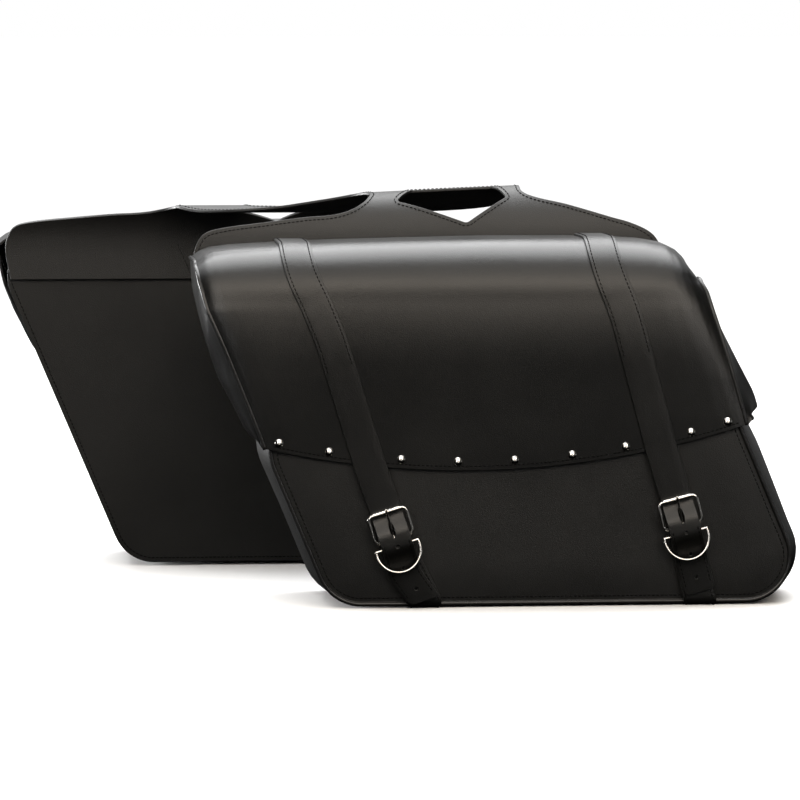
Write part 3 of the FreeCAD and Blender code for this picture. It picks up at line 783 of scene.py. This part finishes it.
for side in ("left", "right"):
    for place_name, spec in STRAPS.items():
        last = run_at_z(lid_edge_z(spec["foot"])) - 2
        run = np.linspace(17, last, 60)
        x = np.interp(run, (*OVER_RUN, last), (*spec["over"], spec["foot"]))
        x[2:-2] = (x[:-4] + x[1:-3] + x[2:-2] + x[3:-1] + x[4:]) / 5
        over_lid = lid_at(side, x, run, STRAP_T + 0.1)
        out, up = lid_normal(run)
        normal = np.column_stack([np.zeros_like(out), out, up])
        tangent = np.gradient(over_lid, axis=0)
        across = unit(np.cross(tangent, normal))
        across *= np.sign(across[:, :1])
        woven = np.array([on_buckle(spec, rise, lift) for rise, lift in WOVEN])
        tail = np.array([[spec["tail"], DEPTH + 6.4, spec["end_z"]]])
        knots = np.vstack([over_lid, woven, tail])
        level = np.array([math.cos(spec["tilt"]), 0, math.sin(spec["tilt"])])
        knot_across = np.vstack([across, np.tile(level, (len(woven) + 1, 1))])
        middle = smooth_run(knots, 2.5)
        knot_reach = lengths_along(knots)
        wide = read_off(knot_across, knot_reach, np.linspace(0, knot_reach[-1], len(middle)))
        for _ in range(6):
            wide[1:-1] = (wide[:-2] + wide[1:-1] + wide[2:]) / 3
        heel = on_buckle(spec, 0, HEEL_OUT)
        reach = lengths_along(middle)
        at_heel = reach[np.argmin(np.linalg.norm(middle - heel, axis=1))]
        holes = [punched(at_heel + TONGUE_SLOT[0], 0, *TONGUE_SLOT[1:])]
        holes += [punched(at_heel + far, 0, HOLE_D, HOLE_D) for far in SPARE_HOLES
                  if at_heel + far < reach[-1] - 8]
        strap, fold, length = strap_sheet(side + "_strap_" + place_name + "_leather", side,
                                          middle, wide, STRAP_W, holes, 6, STRAP_GRAIN)
        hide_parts(side + "_strap_" + place_name)
        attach(strap, side + "_lid")
        rows = []
        for edge in (-1, 1):
            for start, end in ((2, spec["sewn"]), (at_heel + 3, length - 6)):
                u = np.arange(start, end, 2.0)
                rows.append(fold(u, np.full(len(u), edge * (STRAP_W / 2 - STRAP_SEAM_IN))))
        thread = sew(side + "_strap_" + place_name + "_thread", side, rows)
        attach(thread, side + "_lid")

# ---- Chapes ------------------------------------------------------------------------------
# A short folded leather holds the buckle's heel bar and the D-ring's straight bar. The hidden
# spring socket of the press stud sits on its back.
FOLD = ((-23, -3.9), (-8, -3.9), (-1, -3.9), (2.8, -2.7), (3.9, 0), (2.8, 2.7), (-1, 3.9),
        (-6, 3.9), (-11.5, 3.9))
CHAPE_W, CHAPE_T = 30, 1.6
CHAPE_SLOT = (24, 9)      # long and wide, where the leather folds round the heel bar

for side in ("left", "right"):
    for place_name, spec in STRAPS.items():
        run = smooth_run(np.array([on_buckle(spec, rise, out) for rise, out in FOLD]), 1.2)
        level = np.tile((math.cos(spec["tilt"]), 0, math.sin(spec["tilt"])), (len(run), 1))
        at_fold = lengths_along(run)[len(run) * 6 // 10 - 1]
        chape = strap_sheet(side + "_chape_" + place_name + "_leather", side, run, level,
                            CHAPE_W, [punched(at_fold, 0, *CHAPE_SLOT)], 0, STRAP_GRAIN,
                            CHAPE_T)[0]
        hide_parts(side + "_chape_" + place_name)
        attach(chape, side + "_lid")

# ---- Anchor straps -----------------------------------------------------------------------
# Under each tail a second strap is sewn up the front panel and wrapped under the bag, which
# stands on it.
ANCHOR_W, ANCHOR_SEAM = 33.4, 13.4

for side in ("left", "right"):
    for place_name, spec in STRAPS.items():
        out = DEPTH + 3.4
        route = [(on_buckle(spec, -1, 0)[0], out, spec["heel"][1] - 1),
                 (spec["tail"] - 3, out, 16), (spec["tail"], out, 7),
                 (spec["tail"], out - 1.6, 1.9), (spec["tail"], out - 6, 0.1),
                 (spec["tail"], 110, 0.05), (spec["tail"], 22, 0.05)]
        run = smooth_run(np.array(route), 2.5)
        across = np.tile((1.0, 0, 0), (len(run), 1))
        anchor, fold, length = strap_sheet(side + "_anchor_" + place_name + "_leather", side,
                                           run, across, ANCHOR_W, [], 4, STRAP_GRAIN)
        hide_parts(side + "_anchor_" + place_name)
        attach(anchor, side + "_bag")
        u = np.arange(4, length - 6, 2.0)
        rows = [fold(u, np.full(len(u), edge * ANCHOR_SEAM)) for edge in (-1, 1)]
        thread = sew(side + "_anchor_" + place_name + "_thread", side, rows)
        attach(thread, side + "_bag")

# ---- Yoke --------------------------------------------------------------------------------
# One wide piece of leather joins the bags: it is riveted to both back panels, narrows to the
# crown over the fender, and is pulled askew because one bag hangs ahead of the other.
SIDE_LINE = ((-298, 0), (-303.5, 30), (-301, 47), (-292, 60), (-272, 66), (-231, 71.5),
             (-189, 77), (-164, 79), (-147, 83), (-133, 91), (-123, 104), (-121, 122))
REAR_LINE = ((36, 122), (38, 108), (52, 99), (83, 90), (127, 76), (147, 70), (166, 61),
             (176, 50), (183, 30), (192, 0))
# (off the back panel, z) up the near side, (y, z) over the crown, and the same up the far side
NEAR_RISE = ((3.4, 308), (3.4, 330), (4.0, 350), (6.5, 372), (13.0, 390), (24.0, 402.5),
             (38.0, 409.5), (52.0, 411.0))
CROWN = ((-48, 407.0), (-30, 399.0), (-10, 391.0), (12, 386.5), (34, 385.5))
FAR_RISE = ((3.4, 308), (3.4, 326), (4.2, 343), (8.0, 360), (17.0, 374), (30.0, 383.5),
            (46.0, 388.0), (62.0, 388.8))
NECK_FRONT = ((-40, 150), (-100, 182), (-165, 212))
NECK_REAR = ((137, 155), (118, 180), (60, 205), (-10, 225))
NEAR_HOLE = ((-93, 97, 3), (-22, 70, 6), (20, 100, 3), (8, 128, 5), (-76, 126, 5))
FAR_HOLE = ((-52, 82, 3), (-15, 65, 6), (26, 92, 3), (12, 122, 5), (-44, 118, 5))
YOKE_T, YOKE_ROUND, YOKE_PITCH, YOKE_SEAM_IN = 3.0, 0.8, 5.0, 4.0
# one bag hangs ahead of the other, so the leather is tilted about TILT_X and most at TILT_V
TILT, TILT_X, TILT_V, TILT_SPREAD = 0.045, -42, 125, 26

(LEFT_X, LEFT_Y), (RIGHT_X, RIGHT_Y) = (np.array(ORIGIN[side]) / MM for side in ORIGIN)
drape = smooth_run(np.array([(LEFT_Y + lean, z) for lean, z in NEAR_RISE] + list(CROWN)
                            + [(RIGHT_Y - lean, z) for lean, z in reversed(FAR_RISE)]), 2.0)
drape_reach = lengths_along(drape)
YOKE_SPAN = drape_reach[-1]


def drape_at(x, v):
    """(x, v) on the flat yoke, both in millimetres -> the row frame in metres, and normals."""
    y, z = read_off(drape, drape_reach, v).T
    ahead = unit(read_off(drape, drape_reach, v + 1) - read_off(drape, drape_reach, v - 1))
    tilt = np.exp(-((v - TILT_V) / TILT_SPREAD) ** 2) * TILT * (x - LEFT_X - TILT_X)
    normal = np.column_stack([np.zeros(len(v)), -ahead[:, 1], ahead[:, 0]])
    points = np.column_stack([x, y, z + tilt * np.clip((v - 60) / 30, 0, 1)])
    return points * MM, normal


left_front = [(LEFT_X + x, v) for x, v in SIDE_LINE]
left_rear = [(LEFT_X + x, v) for x, v in REAR_LINE]
right_front = [(RIGHT_X + x, YOKE_SPAN - v) for x, v in SIDE_LINE]
right_rear = [(RIGHT_X + x, YOKE_SPAN - v) for x, v in REAR_LINE[::-1]]
front_edge = smooth_run(np.array(left_front + list(NECK_FRONT) + right_front[::-1]), 4)
rear_edge = smooth_run(np.array(right_rear + list(NECK_REAR[::-1]) + left_rear), 4)
outline = np.vstack([front_edge, even(np.array([front_edge[-1], rear_edge[0]]), 90)[1:-1],
                     rear_edge, even(np.array([rear_edge[-1], front_edge[0]]), 90)[1:-1]])
holes = []
for x0, flip, corners in ((LEFT_X, False, NEAR_HOLE), (RIGHT_X, True, FAR_HOLE)):
    hole = rounded_loop(corners, 2.5)
    v = YOKE_SPAN - hole[:, 1] if flip else hole[:, 1]
    holes.append(np.column_stack([hole[:, 0] + x0, v]))
flat, triangles = cut_flat(outline, holes, YOKE_PITCH)
verts = drape_at(*flat.T)[0]
a, b, c = (verts[triangles[:, i]] for i in range(3))
if np.sum(np.cross(b - a, c - a)[:, 2]) < 0:
    triangles = triangles[:, ::-1]
yoke = add_piece("yoke_leather", verts, triangles, [YOKE_GRAIN, FLESH, PAINTED_EDGE])
thicken(yoke, YOKE_T, YOKE_ROUND)
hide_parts("left_yoke", "right_yoke")


def sew_yoke(name, loops):
    """Stitch rows on the yoke, given on its flat cut."""
    rows = []
    for loop in loops:
        points, normals = drape_at(*loop.T)
        x0, y0 = ORIGIN["left"]
        local = np.column_stack([points[:, 0] - x0, y0 - points[:, 1], points[:, 2]]) / MM
        turned = np.column_stack([normals[:, 0], -normals[:, 1], normals[:, 2]])
        rows.append((local, turned))
    return sew(name, "left", rows)


seams = [inset(outline, YOKE_SEAM_IN)] + [inset(hole, -YOKE_SEAM_IN) for hole in holes]
thread = sew_yoke("yoke_thread", [np.vstack([seam, seam[:1]]) for seam in seams])
for piece in (yoke, thread):
    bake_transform(piece)

# ---- Nickel hardware ---------------------------------------------------------------------
# Buckles, rollers, tongues, D-rings, domed studs, rivets and press studs are nickel-plated
# steel, polished by tumbling, with faint brushing and a slightly warm tint.
NICKEL = bpy.data.materials.new("polished_nickel")
NICKEL.use_nodes = True
nickel_tree = NICKEL.node_tree
nickel = nickel_tree.nodes["Principled BSDF"]
nickel.inputs["Metallic"].default_value = 1.0
where = node(nickel_tree, "TexCoord").outputs["Object"]
tarnish = node(nickel_tree, "TexNoise", in_Scale=160.0, in_Detail=4.0)
nickel_tree.links.new(where, tarnish.inputs["Vector"])
tint = ramp(nickel_tree, tarnish.outputs["Fac"], [(0.35, (0.76, 0.74, 0.70)),
                                                  (0.6, (0.90, 0.88, 0.84))])
nickel_tree.links.new(tint, nickel.inputs["Base Color"])
haze = ramp(nickel_tree, tarnish.outputs["Fac"], [(0.3, (0.13,) * 3), (0.7, (0.21,) * 3)])
nickel_tree.links.new(haze, nickel.inputs["Roughness"])
scratches = node(nickel_tree, "TexNoise", in_Scale=2600.0, in_Detail=1.0)
nickel_tree.links.new(where, scratches.inputs["Vector"])
scratch_bump = node(nickel_tree, "Bump", in_Strength=0.08, in_Distance=0.0001)
nickel_tree.links.new(scratches.outputs["Fac"], scratch_bump.inputs["Height"])
nickel_tree.links.new(scratch_bump.outputs["Normal"], nickel.inputs["Normal"])

for name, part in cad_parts.items():
    if any(word in name for word in ("buckle", "roller", "tongue", "ring", "stud", "rivet",
                                     "snap")):
        part.data.materials.clear()
        part.data.materials.append(NICKEL)

# ---- Stiffener boards --------------------------------------------------------------------
# A pressed-fibre board stands behind each back panel and another lies on the base.
BOARD = leather("fibre_board", (0.018, 0.017, 0.016), (0.035, 0.033, 0.030), 0.75, 0.9, 0.5)
for name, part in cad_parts.items():
    if "board" in name:
        part.data.materials.clear()
        part.data.materials.append(BOARD)

# ---- Studio ------------------------------------------------------------------------------
# A pale floor runs back to a white background. A wide soft light hangs behind and above, a
# warmer one over the shoulder of the lids, and a weak one fills in from the front.
FLOOR_HALF, FLOOR_DROP = 40.0, 0.0005
floor_mesh = bpy.data.meshes.new("floor")
corners = [(-1, -1), (1, -1), (1, 1), (-1, 1)]
floor_mesh.from_pydata([(x * FLOOR_HALF, y * FLOOR_HALF, 0) for x, y in corners], [],
                       [(0, 1, 2, 3)])
floor = bpy.data.objects.new("floor", floor_mesh)
bpy.context.scene.collection.objects.link(floor)
floor.location.z = -FLOOR_DROP
floor_paint = bpy.data.materials.new("pale_floor")
floor_paint.use_nodes = True
floor_shader = floor_paint.node_tree.nodes["Principled BSDF"]
floor_shader.inputs["Base Color"].default_value = (0.96, 0.96, 0.96, 1)
floor_shader.inputs["Roughness"].default_value = 0.95
floor_shader.inputs["Specular IOR Level"].default_value = 0.0
floor_mesh.materials.append(floor_paint)
floor.visible_glossy = False
floor.visible_diffuse = False

world = bpy.data.worlds.new("white_background")
world.use_nodes = True
world.node_tree.nodes["Background"].inputs["Color"].default_value = (1, 1, 1, 1)
world.node_tree.nodes["Background"].inputs["Strength"].default_value = 1.0
world.cycles_visibility.diffuse = False
world.cycles_visibility.glossy = False
world.cycles_visibility.transmission = False
bpy.context.scene.world = world
bpy.context.scene.view_settings.view_transform = "Standard"


def soft_light(name, spot, aim, size, glow, colour=(1, 1, 1)):
    """Rectangular light; glow is the brightness of its face."""
    light = bpy.data.lights.new(name, "AREA")
    light.shape = "RECTANGLE"
    light.size, light.size_y = size
    light.energy = glow * math.pi * size[0] * size[1]
    light.color = colour
    lamp = bpy.data.objects.new(name, light)
    bpy.context.scene.collection.objects.link(lamp)
    lamp.location = spot
    lamp.rotation_euler = (Vector(aim) - Vector(spot)).to_track_quat("-Z", "Y").to_euler()
    lamp.visible_camera = False


sky = bpy.data.lights.new("even_top_light", "SUN")
sky.energy = 3.7
sky.angle = math.radians(60)
sky_lamp = bpy.data.objects.new("even_top_light", sky)
bpy.context.scene.collection.objects.link(sky_lamp)
sky_lamp.rotation_euler = (math.radians(-24), 0, 0)
soft_light("back_glow", (0.0, 4.0, 1.5), (0, 0.1, 0.35), (7.0, 2.4), 0.55)
soft_light("ceiling", (0.0, 0.9, 2.9), (0, 0.0, 0.35), (5.0, 3.2), 2.4, (0.98, 0.99, 1.0))
soft_light("warm_front", (0.0, -2.9, 1.85), (0, -0.2, 0.3), (5.0, 1.4), 3.5,
           (1.0, 0.90, 0.78))
soft_light("shoulder_glow", (0.0, -1.7, 2.75), (0, -0.2, 0.35), (5.0, 1.5), 1.7,
           (1.0, 0.95, 0.88))
soft_light("front_fill", (0.0, -6.5, 0.55), (0, 0, 0.25), (9.0, 1.1), 0.12, (1, 1, 0.94))
soft_light("front_end_glow", (-3.0, 1.0, 0.5), (-0.3, -0.15, 0.2), (2.2, 1.0), 24.0)
soft_light("rear_end_glow", (3.0, 0.3, 0.5), (0.3, -0.15, 0.2), (3.5, 1.0), 0.25)
soft_light("bounce_card", (0.0, -1.3, 0.02), (0, -0.3, 0.35), (3.0, 0.5), 0.10)
soft_light("front_strip", (-2.2, -4.0, 1.3), (0, -0.26, 0.1), (0.35, 2.2), 7.0)
soft_light("rear_strip", (2.4, -4.0, 1.3), (0, -0.26, 0.1), (0.35, 2.2), 5.0)

# ---- Camera ------------------------------------------------------------------------------
# A long lens stands a little above the left bag and slightly towards its front end.
camera_data = bpy.data.cameras.new("camera")
camera_data.lens = 225
camera_data.sensor_width = 36
camera = bpy.data.objects.new("camera", camera_data)
bpy.context.scene.collection.objects.link(camera)
camera.location = (-0.435, -5.219, 0.640)
aim = Vector((-0.002, -0.265, 0.209))
camera.rotation_euler = (aim - camera.location).to_track_quat("-Z", "Y").to_euler()
bpy.context.scene.camera = camera
